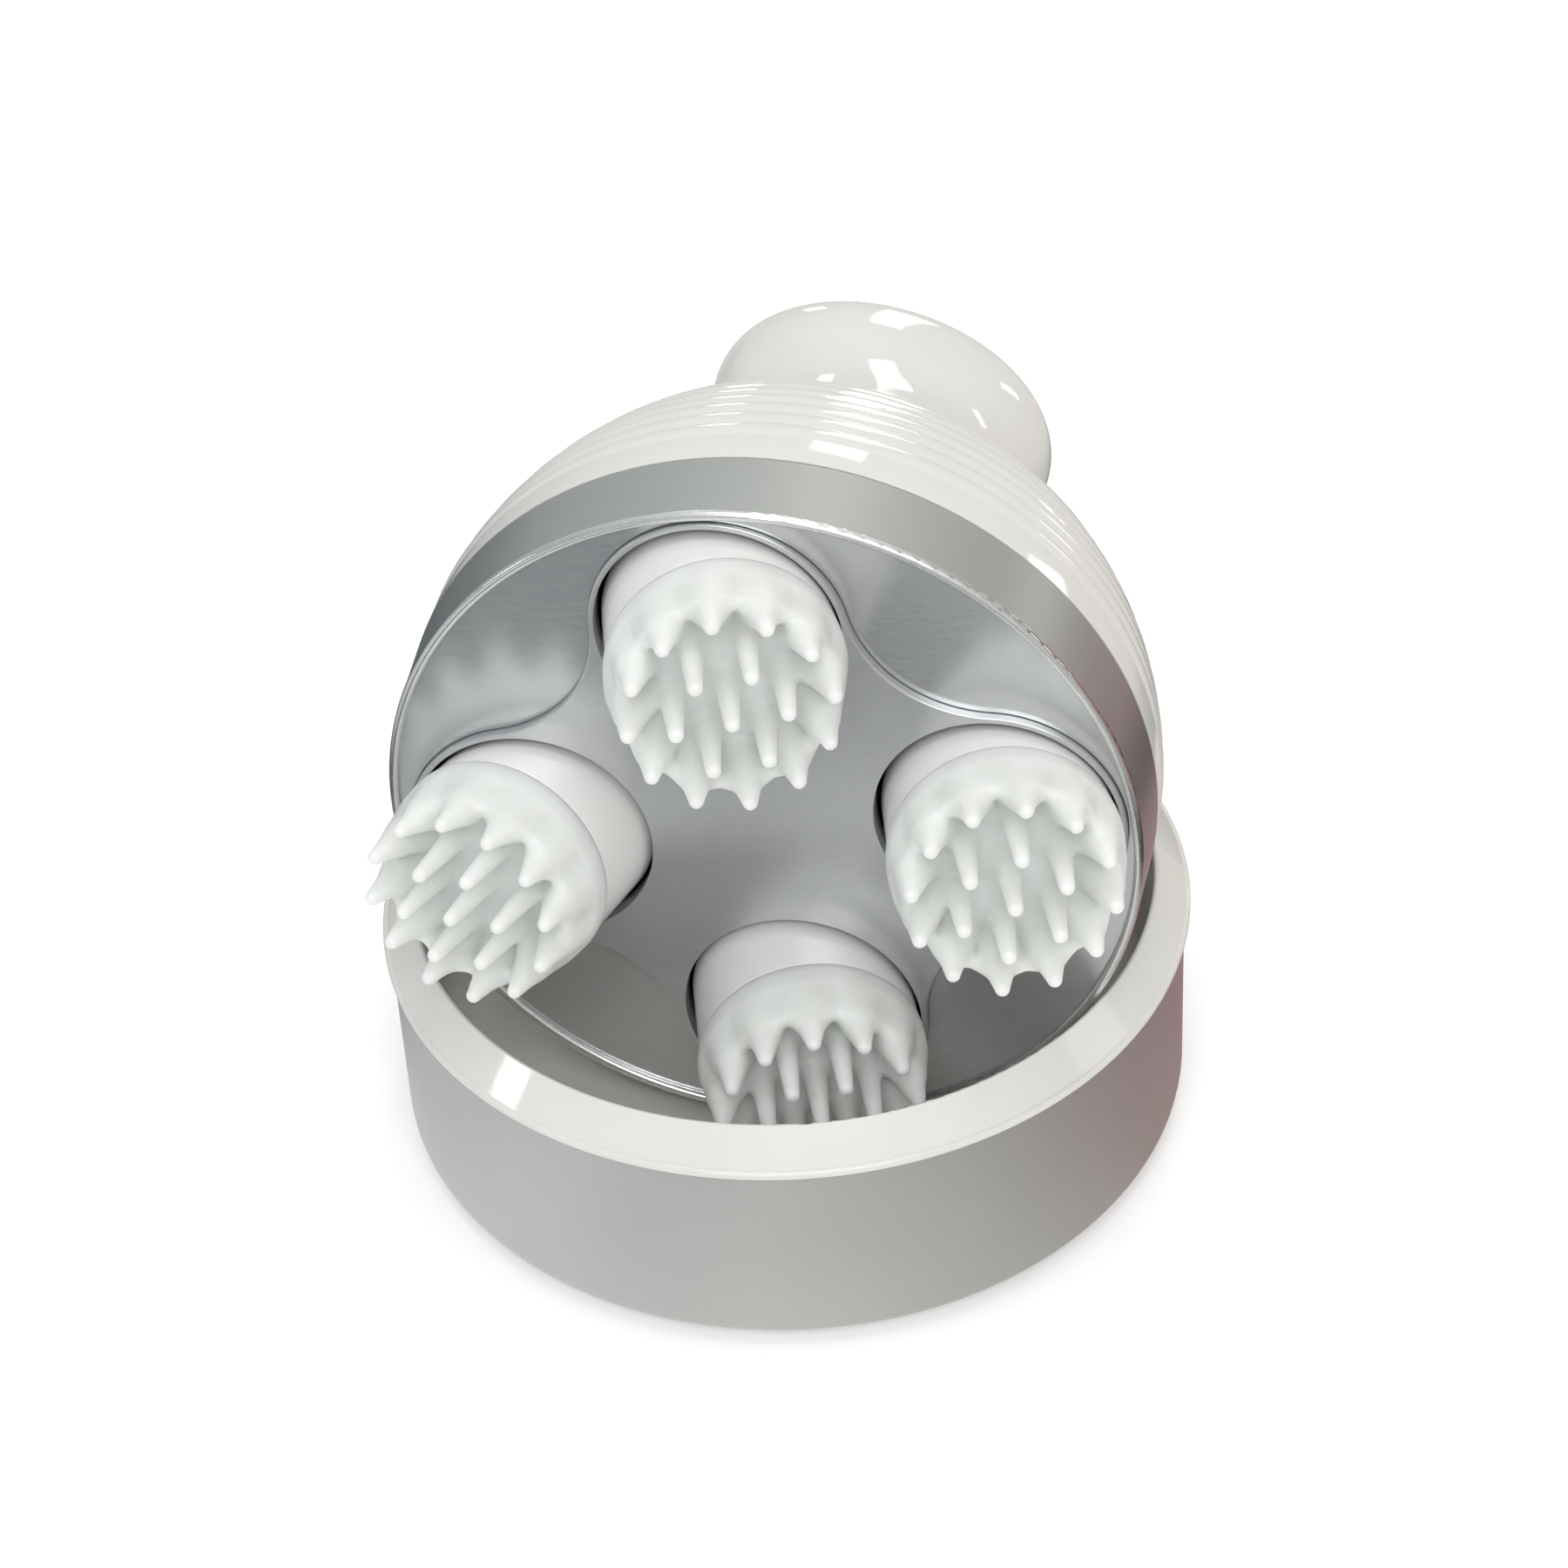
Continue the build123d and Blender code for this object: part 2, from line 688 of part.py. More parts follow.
# Cover between the gears and the heads, with pillars that carry the face plate
seal_radius = hub_radius + running_gap + seal_width
with BuildPart() as gear_cover:
    with BuildSketch(at_depth(cover_back)):
        Circle(band_radius - dome_wall - cover_edge_gap)
        with spindle_places():
            Circle(seal_radius, mode=Mode.SUBTRACT)
        with pillar_places():
            Circle(screw_radius, mode=Mode.SUBTRACT)
    extrude(amount=cover_thickness)
    with BuildSketch(at_depth(cover_front)):
        with pillar_places():
            Circle(pillar_radius)
            Circle(screw_radius, mode=Mode.SUBTRACT)
    extrude(amount=cover_front - face_depth)
save(gear_cover.part, "gear_cover")

# Rubber ring in the cover round each turning hub
with BuildPart() as hub_seals:
    with BuildSketch(at_depth(cover_back)):
        with spindle_places():
            Circle(seal_radius)
            Circle(hub_radius + running_gap, mode=Mode.SUBTRACT)
    extrude(amount=cover_thickness)
save(hub_seals.part, "hub_seals")

# Chassis plate that holds the motor, the axles and the pillars
with BuildPart() as chassis_plate:
    with BuildSketch(at_depth(chassis_back)):
        Circle(chassis_radius)
        Circle(bush_radius, mode=Mode.SUBTRACT)
        with spindle_places():
            Circle(axle_radius, mode=Mode.SUBTRACT)
        with pillar_places():
            Circle(screw_radius, mode=Mode.SUBTRACT)
        with boss_places():
            Circle(screw_radius, mode=Mode.SUBTRACT)
        with PolarLocations(motor_screw_circle, 4, start_angle=pattern_turn):
            Circle(screw_radius, mode=Mode.SUBTRACT)
    extrude(amount=chassis_thickness)
    with BuildSketch(at_depth(chassis_front)):
        with PolarLocations(motor_screw_circle, 4, start_angle=pattern_turn):
            Circle(screw_head_radius)
    extrude(amount=-screw_head_height, mode=Mode.SUBTRACT)
    with BuildSketch(at_depth(chassis_front)):
        with pillar_places():
            Circle(pillar_radius)
            Circle(screw_radius, mode=Mode.SUBTRACT)
    extrude(amount=chassis_front - cover_back)
save(chassis_plate.part, "chassis_plate")

# Fixed steel axles that the head gears turn on
with BuildPart() as head_axles:
    with BuildSketch(at_depth(chassis_back)):
        with spindle_places():
            Circle(axle_radius)
    extrude(amount=chassis_back - axle_top)
save(head_axles.part, "head_axles")

# Washers that the head gears run against
with BuildPart() as thrust_washers:
    with BuildSketch(at_depth(chassis_front)):
        with spindle_places():
            Circle(hub_radius)
            Circle(axle_radius, mode=Mode.SUBTRACT)
    extrude(amount=washer_thickness)
save(thrust_washers.part, "thrust_washers")

# Long screws from behind the chassis, through both pillars, into the face plate
with BuildPart() as face_screws:
    pan_screws(turned(at_depth(chassis_back), x=180), screw_radius, screw_head_radius,
               screw_head_height, chassis_back - face_depth + screw_bite,
               lambda: PolarLocations(pillar_circle, 4, start_angle=-diagonal_turn))
save(face_screws.part, "face_screws")

# Screws that hold the chassis to the dome's bosses
with BuildPart() as chassis_screws:
    pan_screws(at_depth(chassis_front), screw_radius, screw_head_radius, screw_head_height,
               chassis_thickness + boss_screw_length, boss_places)
save(chassis_screws.part, "chassis_screws")

# Bronze bush for the drive shaft
with BuildPart() as drive_bush:
    with BuildSketch(at_depth(chassis_back)):
        Circle(bush_radius)
        Circle(shaft_radius + running_gap, mode=Mode.SUBTRACT)
    extrude(amount=chassis_thickness)
save(drive_bush.part, "drive_bush")

# Central gear, pressed on the motor's output shaft
with BuildPart() as drive_gear:
    with BuildSketch(at_depth(gear_back)):
        gear_outline(sun_teeth, 0)
        Circle(shaft_radius, mode=Mode.SUBTRACT)
    extrude(amount=gear_width)
    with BuildSketch(at_depth(gear_back)):
        Circle(bush_radius)
        Circle(shaft_radius, mode=Mode.SUBTRACT)
    extrude(amount=-(chassis_front - gear_back - running_gap))
save(drive_gear.part, "drive_gear")

# Output shaft, running in the bush and in the gearbox
shaft_reach = gearbox_length / 2
with BuildPart() as drive_shaft:
    with BuildSketch(at_depth(chassis_back + shaft_reach)):
        Circle(shaft_radius)
    extrude(amount=chassis_back + shaft_reach - gear_front)
save(drive_shaft.part, "drive_shaft")

# ================================================================ motor, power and control

# Gearbox of the geared motor
with BuildPart() as motor_gearbox:
    with BuildSketch(at_depth(chassis_back)):
        Circle(gearbox_radius)
    extrude(amount=-gearbox_length)
    with BuildSketch(at_depth(chassis_back)):
        Circle(shaft_radius + running_gap)
    extrude(amount=-(shaft_reach + button_gap), mode=Mode.SUBTRACT)
    with BuildSketch(at_depth(chassis_back)):
        with PolarLocations(motor_screw_circle, 4, start_angle=pattern_turn):
            Circle(screw_radius)
    extrude(amount=-motor_screw_length, mode=Mode.SUBTRACT)
save(motor_gearbox.part, "motor_gearbox")

# Motor can with the boss of its rear bearing
with BuildPart() as motor_can:
    with BuildSketch(at_depth(gearbox_back)):
        Circle(motor_radius)
    extrude(amount=-motor_length)
    fillet(motor_can.faces().sort_by(main_axis)[0].edges(), motor_boss_length)
    with BuildSketch(at_depth(motor_back)):
        Circle(motor_boss_radius)
    extrude(amount=-motor_boss_length)
save(motor_can.part, "motor_can")

# Screws that hold the gearbox to the chassis, sunk so that the drive gear clears them
with BuildPart() as motor_screws:
    pan_screws(at_depth(chassis_front + screw_head_height), screw_radius, screw_head_radius,
               screw_head_height, chassis_thickness - screw_head_height + motor_screw_length,
               lambda: PolarLocations(motor_screw_circle, 4, start_angle=pattern_turn))
save(motor_screws.part, "motor_screws")

# Ring-shaped circuit board round the motor
with BuildPart() as circuit_board:
    with BuildSketch(at_depth(board_depth + board_thickness)):
        Circle(board_radius)
        Circle(motor_radius + board_bore_gap, mode=Mode.SUBTRACT)
    extrude(amount=board_thickness)
save(circuit_board.part, "circuit_board")

# Hexagonal brass stand-offs under the board
with BuildPart() as board_standoffs:
    with BuildSketch(at_depth(board_depth)):
        with PolarLocations(standoff_circle, standoff_count, start_angle=pattern_turn):
            RegularPolygon(standoff_flats / 2, 6, major_radius=False)
    extrude(amount=board_depth - chassis_back)
save(board_standoffs.part, "board_standoffs")

# Round lithium cell in the neck
with BuildPart() as battery_cell:
    with BuildSketch(at_depth(cell_front)):
        Circle(cell_radius)
    extrude(amount=-cell_length)
    fillet(battery_cell.edges().filter_by(GeomType.CIRCLE), motor_boss_length / 2)
save(battery_cell.part, "battery_cell")

# Sleeve that holds the cell, with a flange that joins the neck and the knob
socket_board_top = socket_recess + socket_length + socket_board_size[2]
with BuildPart() as cell_cradle:
    with BuildSketch(at_depth(neck_seam + cradle_flange / 2)):
        Circle(neck_radius - dome_wall)
    extrude(amount=cradle_flange)
    with BuildSketch(at_depth(switch_board_front)):
        Circle(cell_radius + cradle_wall)
    extrude(amount=switch_board_front - neck_seam)
    with BuildSketch(socket_plane.offset(-socket_board_top)):
        Rectangle(socket_board_size[0] / 2, socket_board_size[1] / 2)
    extrude(amount=-(neck_radius - socket_board_top - cell_radius))
    with BuildSketch(at_depth(neck_seam - cradle_flange)):
        Circle(cell_radius)
    extrude(amount=-(cell_length + cradle_flange), mode=Mode.SUBTRACT)
save(cell_cradle.part, "cell_cradle")

# Charging socket: a thin rounded shell round a flat tongue
with BuildPart() as charge_socket:
    mouth = socket_plane.offset(-socket_recess)
    with BuildSketch(mouth):
        SlotOverall(socket_width, socket_height)
    extrude(amount=-socket_length)
    with BuildSketch(mouth):
        SlotOverall(socket_width - 2 * socket_wall, socket_height - 2 * socket_wall)
    extrude(amount=-(socket_length - 2 * socket_wall), mode=Mode.SUBTRACT)
    with BuildSketch(mouth.offset(-(socket_length - socket_wall))):
        Rectangle(socket_tongue[0], socket_tongue[1])
    extrude(amount=socket_tongue[2])
save(charge_socket.part, "charge_socket")

# Small board that the socket is soldered to
with BuildPart() as socket_board:
    with BuildSketch(mouth.offset(-socket_length)):
        Rectangle(socket_board_size[0], socket_board_size[1])
    extrude(amount=-socket_board_size[2])
save(socket_board.part, "socket_board")

# Board and tactile switch behind the button
with BuildPart() as switch_board:
    with BuildSketch(at_depth(switch_front)):
        Rectangle(switch_board_width, switch_board_width)
    extrude(amount=switch_board_thickness)
save(switch_board.part, "switch_board")

with BuildPart() as tactile_switch:
    with BuildSketch(at_depth(switch_front)):
        Rectangle(switch_size, switch_size)
    extrude(amount=-switch_height)
    with BuildSketch(at_depth(switch_front + switch_height)):
        Circle(plunger_radius)
    extrude(amount=-plunger_length)
save(tactile_switch.part, "tactile_switch")

# Power button: its flange is held under the cap, and its stem reaches for the switch
with BuildPart() as power_button:
    with BuildSketch(at_depth(flange_back)):
        Circle(button_radius)
    extrude(amount=-(button_face - flange_back))
    fillet(power_button.faces().sort_by(main_axis)[0].edges(), button_proud)
    with BuildSketch(at_depth(flange_back)):
        Circle(button_radius + button_flange)
    extrude(amount=button_flange_thickness)
    with BuildSketch(at_depth(stem_front)):
        Circle(button_stem_radius)
    extrude(amount=-button_stem_length)
save(power_button.part, "power_button")

# ================================================================ heads

centre_finger = finger(pad_floor, inner_finger_end, 0, 0, inner_finger_root, inner_finger_tip)
inner_finger = finger(pad_floor, inner_finger_end, inner_finger_circle, inner_finger_circle,
                      inner_finger_root, inner_finger_tip)
outer_finger = finger(pad_valley - outer_root_drop, outer_finger_end, outer_root_circle,
                      outer_finger_circle, outer_finger_root, outer_finger_tip)

for index, name in enumerate(head_names):
    spindle = spindle_plane(index)
    spindle_axis = Axis(spindle.origin, spindle.z_dir)
    lean = lean_plane(index)
    lean_axis = Axis(lean.origin, lean.z_dir)

    # Gear and hub in one, turning on the fixed axle
    with BuildPart() as head_gear:
        with BuildSketch(spindle.offset(-gear_back)):
            gear_outline(head_teeth, head_gear_turn(head_angles[index]))
        extrude(amount=gear_width)
        with BuildSketch(spindle.offset(-hub_back)):
            Circle(hub_radius)
        extrude(amount=hub_back - hub_top)
        with BuildSketch(spindle.offset(-hub_back)):
            Circle(axle_radius + running_gap)
        extrude(amount=hub_back - axle_top + washer_thickness, mode=Mode.SUBTRACT)
        with BuildSketch(spindle.offset(-hub_top)):
            Circle(head_screw_radius)
        extrude(amount=-head_screw_length, mode=Mode.SUBTRACT)
    save(head_gear.part, f"head_gear_{name}")

    # White collar: a cup on the leaning axis, with a web that takes the upright hub
    with BuildPart() as collar:
        bore = collar_radius - collar_wall
        web_top = collar_foot + collar_web
        with BuildSketch(outward_section(lean)):
            with BuildLine():
                Polyline((0, collar_foot), (collar_radius, collar_foot), (collar_radius, collar_top),
                         (bore, collar_top), (bore, web_top), (0, web_top), close=True)
            make_face()
        revolve(axis=lean_axis)
        fillet(collar.edges().filter_by(GeomType.CIRCLE).group_by(lean_axis)[0], collar_wall / 2)
        fillet(collar.edges().filter_by(GeomType.CIRCLE).group_by(lean_axis)[-1].sort_by(SortBy.RADIUS)[-1],
               collar_wall / 4)
        with BuildSketch(spindle.offset(-gear_front)):
            Circle(hub_radius)
        extrude(amount=gear_front + collar_top, mode=Mode.SUBTRACT)
    save(collar.part, f"collar_{name}")

    # Screw that holds the collar's hub, under the pad
    with BuildPart() as head_screw:
        with BuildSketch(spindle.offset(-hub_top)):
            Circle(head_screw_head)
        extrude(amount=head_screw_head_height)
        with BuildSketch(spindle.offset(-hub_top)):
            Circle(head_screw_radius)
        extrude(amount=-head_screw_length)
    save(head_screw.part, f"head_screw_{name}")

    # Silicone pad: a plug in the collar, a rounded wall with outer fingers, and inner fingers on its floor
    with BuildPart() as finger_pad:
        with BuildSketch(outward_section(lean)):
            with BuildLine():
                Polyline((0, collar_top - pad_plug), (bore, collar_top - pad_plug), (bore, collar_top),
                         (pad_radius, collar_top), (pad_radius, pad_valley),
                         (pad_radius - pad_wall, pad_valley), (pad_radius - pad_wall, pad_floor),
                         (0, pad_floor), close=True)
            make_face()
        revolve(axis=lean_axis)
        rim_edges = finger_pad.edges().filter_by(GeomType.CIRCLE).group_by(lean_axis)[-1]
        fillet(rim_edges.sort_by(SortBy.RADIUS)[-1], pad_shoulder)
        with Locations(turned(lean, z=finger_phases[index] - head_lean_directions[index])):
            add(centre_finger)
            with PolarLocations(0, inner_finger_count):
                add(inner_finger)
            with PolarLocations(0, outer_finger_count):
                add(outer_finger)
    save(finger_pad.part, f"finger_pad_{name}")
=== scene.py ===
import functools
import json
import math

import bpy
from mathutils import Matrix, Vector


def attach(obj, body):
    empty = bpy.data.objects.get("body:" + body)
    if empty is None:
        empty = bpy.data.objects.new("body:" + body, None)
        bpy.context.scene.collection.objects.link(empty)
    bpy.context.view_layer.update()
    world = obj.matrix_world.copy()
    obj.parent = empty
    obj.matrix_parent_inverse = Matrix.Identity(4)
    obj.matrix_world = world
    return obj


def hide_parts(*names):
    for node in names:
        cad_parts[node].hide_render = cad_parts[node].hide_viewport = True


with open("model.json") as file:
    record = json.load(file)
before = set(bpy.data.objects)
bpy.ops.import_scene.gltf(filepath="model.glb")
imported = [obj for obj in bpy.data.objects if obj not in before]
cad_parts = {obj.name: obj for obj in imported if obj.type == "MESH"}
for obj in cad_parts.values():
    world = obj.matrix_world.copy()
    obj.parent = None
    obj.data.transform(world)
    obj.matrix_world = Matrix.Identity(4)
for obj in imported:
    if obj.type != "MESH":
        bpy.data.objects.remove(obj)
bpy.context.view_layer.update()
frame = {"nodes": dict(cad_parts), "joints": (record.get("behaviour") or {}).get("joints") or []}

MM = 0.001
head_names = ["right", "top", "left", "bottom"]
joints = {joint["name"]: joint for joint in frame["joints"]}

# The face looks along the drive shaft, and is turned about the upright from the front.
face_point = Vector(joints["drive_spin"]["pos_m"])
face_normal = Vector(joints["drive_spin"]["axis"]).normalized()
face_turn = math.atan2(-face_normal.x, -face_normal.y)


# ---------------------------------------------------------------- camera

# A long lens, looking down on the massager from the front.
lens = 100.0
sensor_width = 36.0
nearest_sight = 10 * MM
camera_place = Vector((0.66, -442.87, 412.69)) * MM
camera_right = Vector((0.99823, -0.03799, -0.04641)).normalized()
camera_up = Vector((0.05998, 0.63227, 0.77247))

camera_data = bpy.data.cameras.new("camera")
camera_data.lens = lens
camera_data.sensor_width = sensor_width
camera_data.clip_start = nearest_sight
camera = bpy.data.objects.new("camera", camera_data)
bpy.context.scene.collection.objects.link(camera)
camera_back = camera_right.cross(camera_up).normalized()
camera_axes = Matrix((camera_right, camera_back.cross(camera_right), camera_back)).transposed()
camera.matrix_world = Matrix.Translation(camera_place) @ camera_axes.to_4x4()
bpy.context.scene.camera = camera
bpy.context.scene.view_settings.view_transform = "Standard"


# ---------------------------------------------------------------- helpers


def linear(hex_colour):
    """An sRGB hex colour as linear red, green, blue and alpha."""
    parts = [int(hex_colour[start:start + 2], 16) / 255 for start in (1, 3, 5)]
    return [part / 12.92 if part <= 0.04045 else ((part + 0.055) / 1.055) ** 2.4 for part in parts] + [1.0]


def add_node(tree, kind, *values, take=None, stops=(), **settings):
    """Adds a node and returns one of its outputs: the one that take names, or else the first in use.

    Values fill its sockets in order, and settings name its properties or sockets, with _ for a space. A value
    or a setting may be another node's output. Stops are a colour ramp's places and hex colours.
    """
    made = tree.nodes.new(kind)
    named = {}
    for name, value in settings.items():
        if hasattr(made, name):
            setattr(made, name, value)
        else:
            named[name.replace("_", " ")] = value
    in_order = zip([socket for socket in made.inputs if socket.enabled], values)
    for socket, value in [*in_order, *[(made.inputs[name], value) for name, value in named.items()]]:
        if isinstance(value, bpy.types.NodeSocket):
            tree.links.new(value, socket)
        else:
            socket.default_value = value
    for number, (place, colour) in enumerate(stops):
        elements = made.color_ramp.elements
        element = elements[number] if number < len(elements) else elements.new(place)
        element.position = place
        element.color = linear(colour)
    return made.outputs[take] if take else next((output for output in made.outputs if output.enabled), None)


def new_material(name, colour, **sockets):
    """A new material with one Principled shader. Returns the material, its node tree and the shader."""
    made = bpy.data.materials.new(name)
    made.use_nodes = True
    tree = made.node_tree
    shader = tree.nodes["Principled BSDF"]
    shader.inputs["Base Color"].default_value = linear(colour)
    for socket, value in sockets.items():
        shader.inputs[socket.replace("_", " ")].default_value = value
    return made, tree, shader


# Noise lies mostly between these two values, so patterns are spread between them.
noise_low, noise_high = 0.3, 0.7


def finish(name, tones, mottle, roughness, grain, relief=None, height=0.0, turn=0.0, stretch=(1.0, 1.0, 1.0),
           **sockets):
    """A finish with two close tones, a range of roughness, and relief of a height in millimetres.

    Mottle spreads the tones, grain the roughness and relief the height. Each is noise on Object coordinates,
    given as a size in millimetres and a detail. Relief is like the grain unless given. Turn and stretch act
    on all three.
    """
    made, tree, shader = new_material(name, tones[0], **sockets)
    place = add_node(tree, "ShaderNodeTexCoord", take="Object")
    space = add_node(tree, "ShaderNodeMapping", place, Rotation=(0.0, 0.0, turn),
                     Scale=[share / MM for share in stretch])
    relief = relief or grain
    noise = {pattern: add_node(tree, "ShaderNodeTexNoise", Vector=space, Scale=1.0 / pattern[0],
                               Detail=pattern[1])
             for pattern in {mottle, grain, relief}}
    tone = add_node(tree, "ShaderNodeValToRGB", noise[mottle],
                    stops=[(noise_low, tones[0]), (noise_high, tones[1])])
    tree.links.new(tone, shader.inputs["Base Color"])
    spread = add_node(tree, "ShaderNodeMapRange", noise[grain], noise_low, noise_high, *roughness)
    tree.links.new(spread, shader.inputs["Roughness"])
    if height:
        bump = add_node(tree, "ShaderNodeBump", Height=noise[relief], Strength=1.0, Distance=height * MM)
        tree.links.new(bump, shader.inputs["Normal"])
    return made


def dress(material, *names):
    """Gives the named CAD nodes one material."""
    for name in names:
        mesh = frame["nodes"][name].data
        mesh.materials.clear()
        mesh.materials.append(material)


# ---------------------------------------------------------------- materials


def polished_abs(name, *tones):
    """Injection-moulded ABS from a polished tool: a sharp highlight on a pale body, with faint flow marks."""
    return finish(name, tones, mottle=(14.0, 3.0), roughness=(0.05, 0.08), grain=(6.0, 2.0),
                  relief=(2.2, 1.0), height=0.002, IOR=1.53)


def satin_anodised(name, *tones, roughness):
    """Bead-blasted and anodised aluminium: a soft metal sheen. The blasting is drawn coarser, at 0.35 mm."""
    return finish(name, tones, mottle=(25.0, 1.0), roughness=roughness, grain=(0.35, 1.0), height=0.0006,
                  Metallic=0.9)


def brushed_lacquer(name, roughness):
    """Vacuum-metallised ABS, lacquered smooth over cross strokes. They are drawn coarser, at 0.4 mm."""
    strokes = (0.4, 1.0)
    return finish(name, ("#cbcdcf", "#cfd1d2"), mottle=strokes, roughness=roughness, grain=strokes,
                  turn=face_turn, stretch=(0.03, 1.0, 1.0), Metallic=0.78)


def polished_bead():
    """The band's rolled edge, buffed bright after anodising. The buffing is drawn coarser, at 0.5 mm."""
    lines = (0.5, 1.0)
    return finish("aluminium_buffed_bead", ("#e8e9e9", "#f0f1f1"), mottle=lines, roughness=(0.22, 0.26),
                  grain=lines, Metallic=1.0)


def milky_silicone():
    """Platinum-cured silicone, moulded: milky, with light under the skin and a soft, slightly dusty sheen."""
    return finish("silicone_milky", ("#dadcd9", "#e1e4e2"), mottle=(5.0, 2.0), roughness=(0.32, 0.46),
                  grain=(2.5, 3.0), relief=(0.8, 1.0), height=0.004, IOR=1.41, Subsurface_Weight=0.9,
                  Subsurface_Scale=4 * MM, Subsurface_Radius=(1.0, 1.0, 0.85))


def plain_finish(name, *tones, roughness, grain, height, **sockets):
    """A moulded, plated or coated surface: two close tones and the grain that the process leaves."""
    return finish(name, tones, mottle=(9.0, 2.0), roughness=roughness, grain=(grain, 2.0), height=height,
                  **sockets)


white_abs = polished_abs("abs_polished_warm_white", "#dbdad6", "#dfdeda")
# The collars' copy of the polished ABS is a cooler white. It is also lighter, as painted light against the
# shade that the face casts on them.
collar_abs_lightened = polished_abs("abs_polished_cool_white_lightened", "#e9e9e7", "#ececea")
button_abs = polished_abs("abs_polished_button_white", "#d6d5d2", "#dad9d6")
drum_silver = satin_anodised("aluminium_satin_anodised", "#c6c6c4", "#cacac9", roughness=(0.36, 0.44))
band_silver = satin_anodised("aluminium_satin_band", "#bdc1bf", "#c1c5c3", roughness=(0.34, 0.37))
plate_silver = brushed_lacquer("abs_metallised_petals", roughness=(0.225, 0.25))
panel_silver = brushed_lacquer("abs_metallised_panel", roughness=(0.285, 0.31))
silicone = milky_silicone()
# Moulded ABS from a smooth tool: an even, soft sheen.
grey_abs = plain_finish("abs_smooth_grey", "#e2e0da", "#e7e5df", roughness=(0.29, 0.36), grain=1.5,
                        height=0.003)
# Moulded rubber: dull, and slightly rough.
rubber = plain_finish("rubber_moulded_black", "#1a1a1b", "#212122", roughness=(0.6, 0.75), grain=0.4,
                      height=0.02)
# Zinc-plated steel: a plain grey metal, a little cloudy.
steel = plain_finish("steel_zinc_plated", "#9b9b99", "#a5a5a2", roughness=(0.29, 0.38), grain=0.6,
                     height=0.003, Metallic=1.0)
# Turned brass: warm, with the tool's fine marks.
brass = plain_finish("brass_turned", "#b08d57", "#b89661", roughness=(0.3, 0.4), grain=0.3, height=0.003,
                     Metallic=1.0)
# Moulded acetal: waxy and uncoloured.
acetal = plain_finish("acetal_natural", "#e0ded6", "#e6e4dc", roughness=(0.35, 0.45), grain=0.8, height=0.004)
# Moulded ABS from a spark-eroded tool: a fine, dull grain.
black_abs = plain_finish("abs_spark_eroded_black", "#1e1f21", "#242528", roughness=(0.5, 0.62), grain=0.3,
                         height=0.015)
# Glass-fibre board under a green solder mask: a half-gloss coat.
board_green = plain_finish("board_solder_mask_green", "#1c5531", "#226239", roughness=(0.3, 0.4), grain=1.2,
                           height=0.01)
# Shrunk PVC film: glossy, with slack ripples.
cell_wrap = plain_finish("pvc_shrink_wrap_blue", "#2a5aa0", "#2f62ab", roughness=(0.2, 0.26), grain=4.0,
                         height=0.02)
# Moulded polycarbonate from an etched tool: it spreads the light behind it.
frosted = plain_finish("polycarbonate_frosted", "#dde1e4", "#e3e7ea", roughness=(0.45, 0.55), grain=0.3,
                       height=0.004, Subsurface_Weight=0.4, Subsurface_Scale=1 * MM)

dress(white_abs, "rim_ring", "dome_shell", "knob_shell", "crown_cap")
dress(collar_abs_lightened, *[f"collar_{name}" for name in head_names])
dress(button_abs, "power_button")
dress(drum_silver, "drum")
dress(band_silver, "silver_band")
dress(plate_silver, "face_plate")
dress(panel_silver, "face_panel")
dress(grey_abs, "cup_liner")
dress(rubber, "foot_ring", "seam_gasket", "hub_seals")
dress(steel, "ballast_plate", "stand_screws", "head_axles", "thrust_washers", "face_screws", "chassis_screws",
      "motor_screws", "drive_shaft", "motor_can", "charge_socket",
      *[f"head_screw_{name}" for name in head_names])
dress(brass, "drive_bush", "board_standoffs")
dress(acetal, "drive_gear", *[f"head_gear_{name}" for name in head_names])
dress(black_abs, "gear_cover", "chassis_plate", "cell_cradle", "motor_gearbox", "tactile_switch")
dress(board_green, "circuit_board", "socket_board", "switch_board")
dress(cell_wrap, "battery_cell")
dress(frosted, "light_ring")

# The bead is the front of the silver band, and its rounded facets end 0.6 mm behind the face.
bead_depth = 0.65 * MM
band_mesh = frame["nodes"]["silver_band"].data
bead_slot = len(band_mesh.materials)
band_mesh.materials.append(polished_bead())
for facet in band_mesh.polygons:
    if (face_point - facet.center).dot(face_normal) < bead_depth:
        facet.material_index = bead_slot


# ---------------------------------------------------------------- finger pads

# A pad's own axis leans from its head's spindle, about a pivot just behind the face. Angles are in degrees.
head_lean = 16.0
lean_directions = {"right": 32.0, "top": 19.0, "left": 160.0, "bottom": -8.0}
finger_phases = {"right": 23.0, "top": 8.0, "left": 7.0, "bottom": 2.0}
pivot_depth = 1.5 * MM

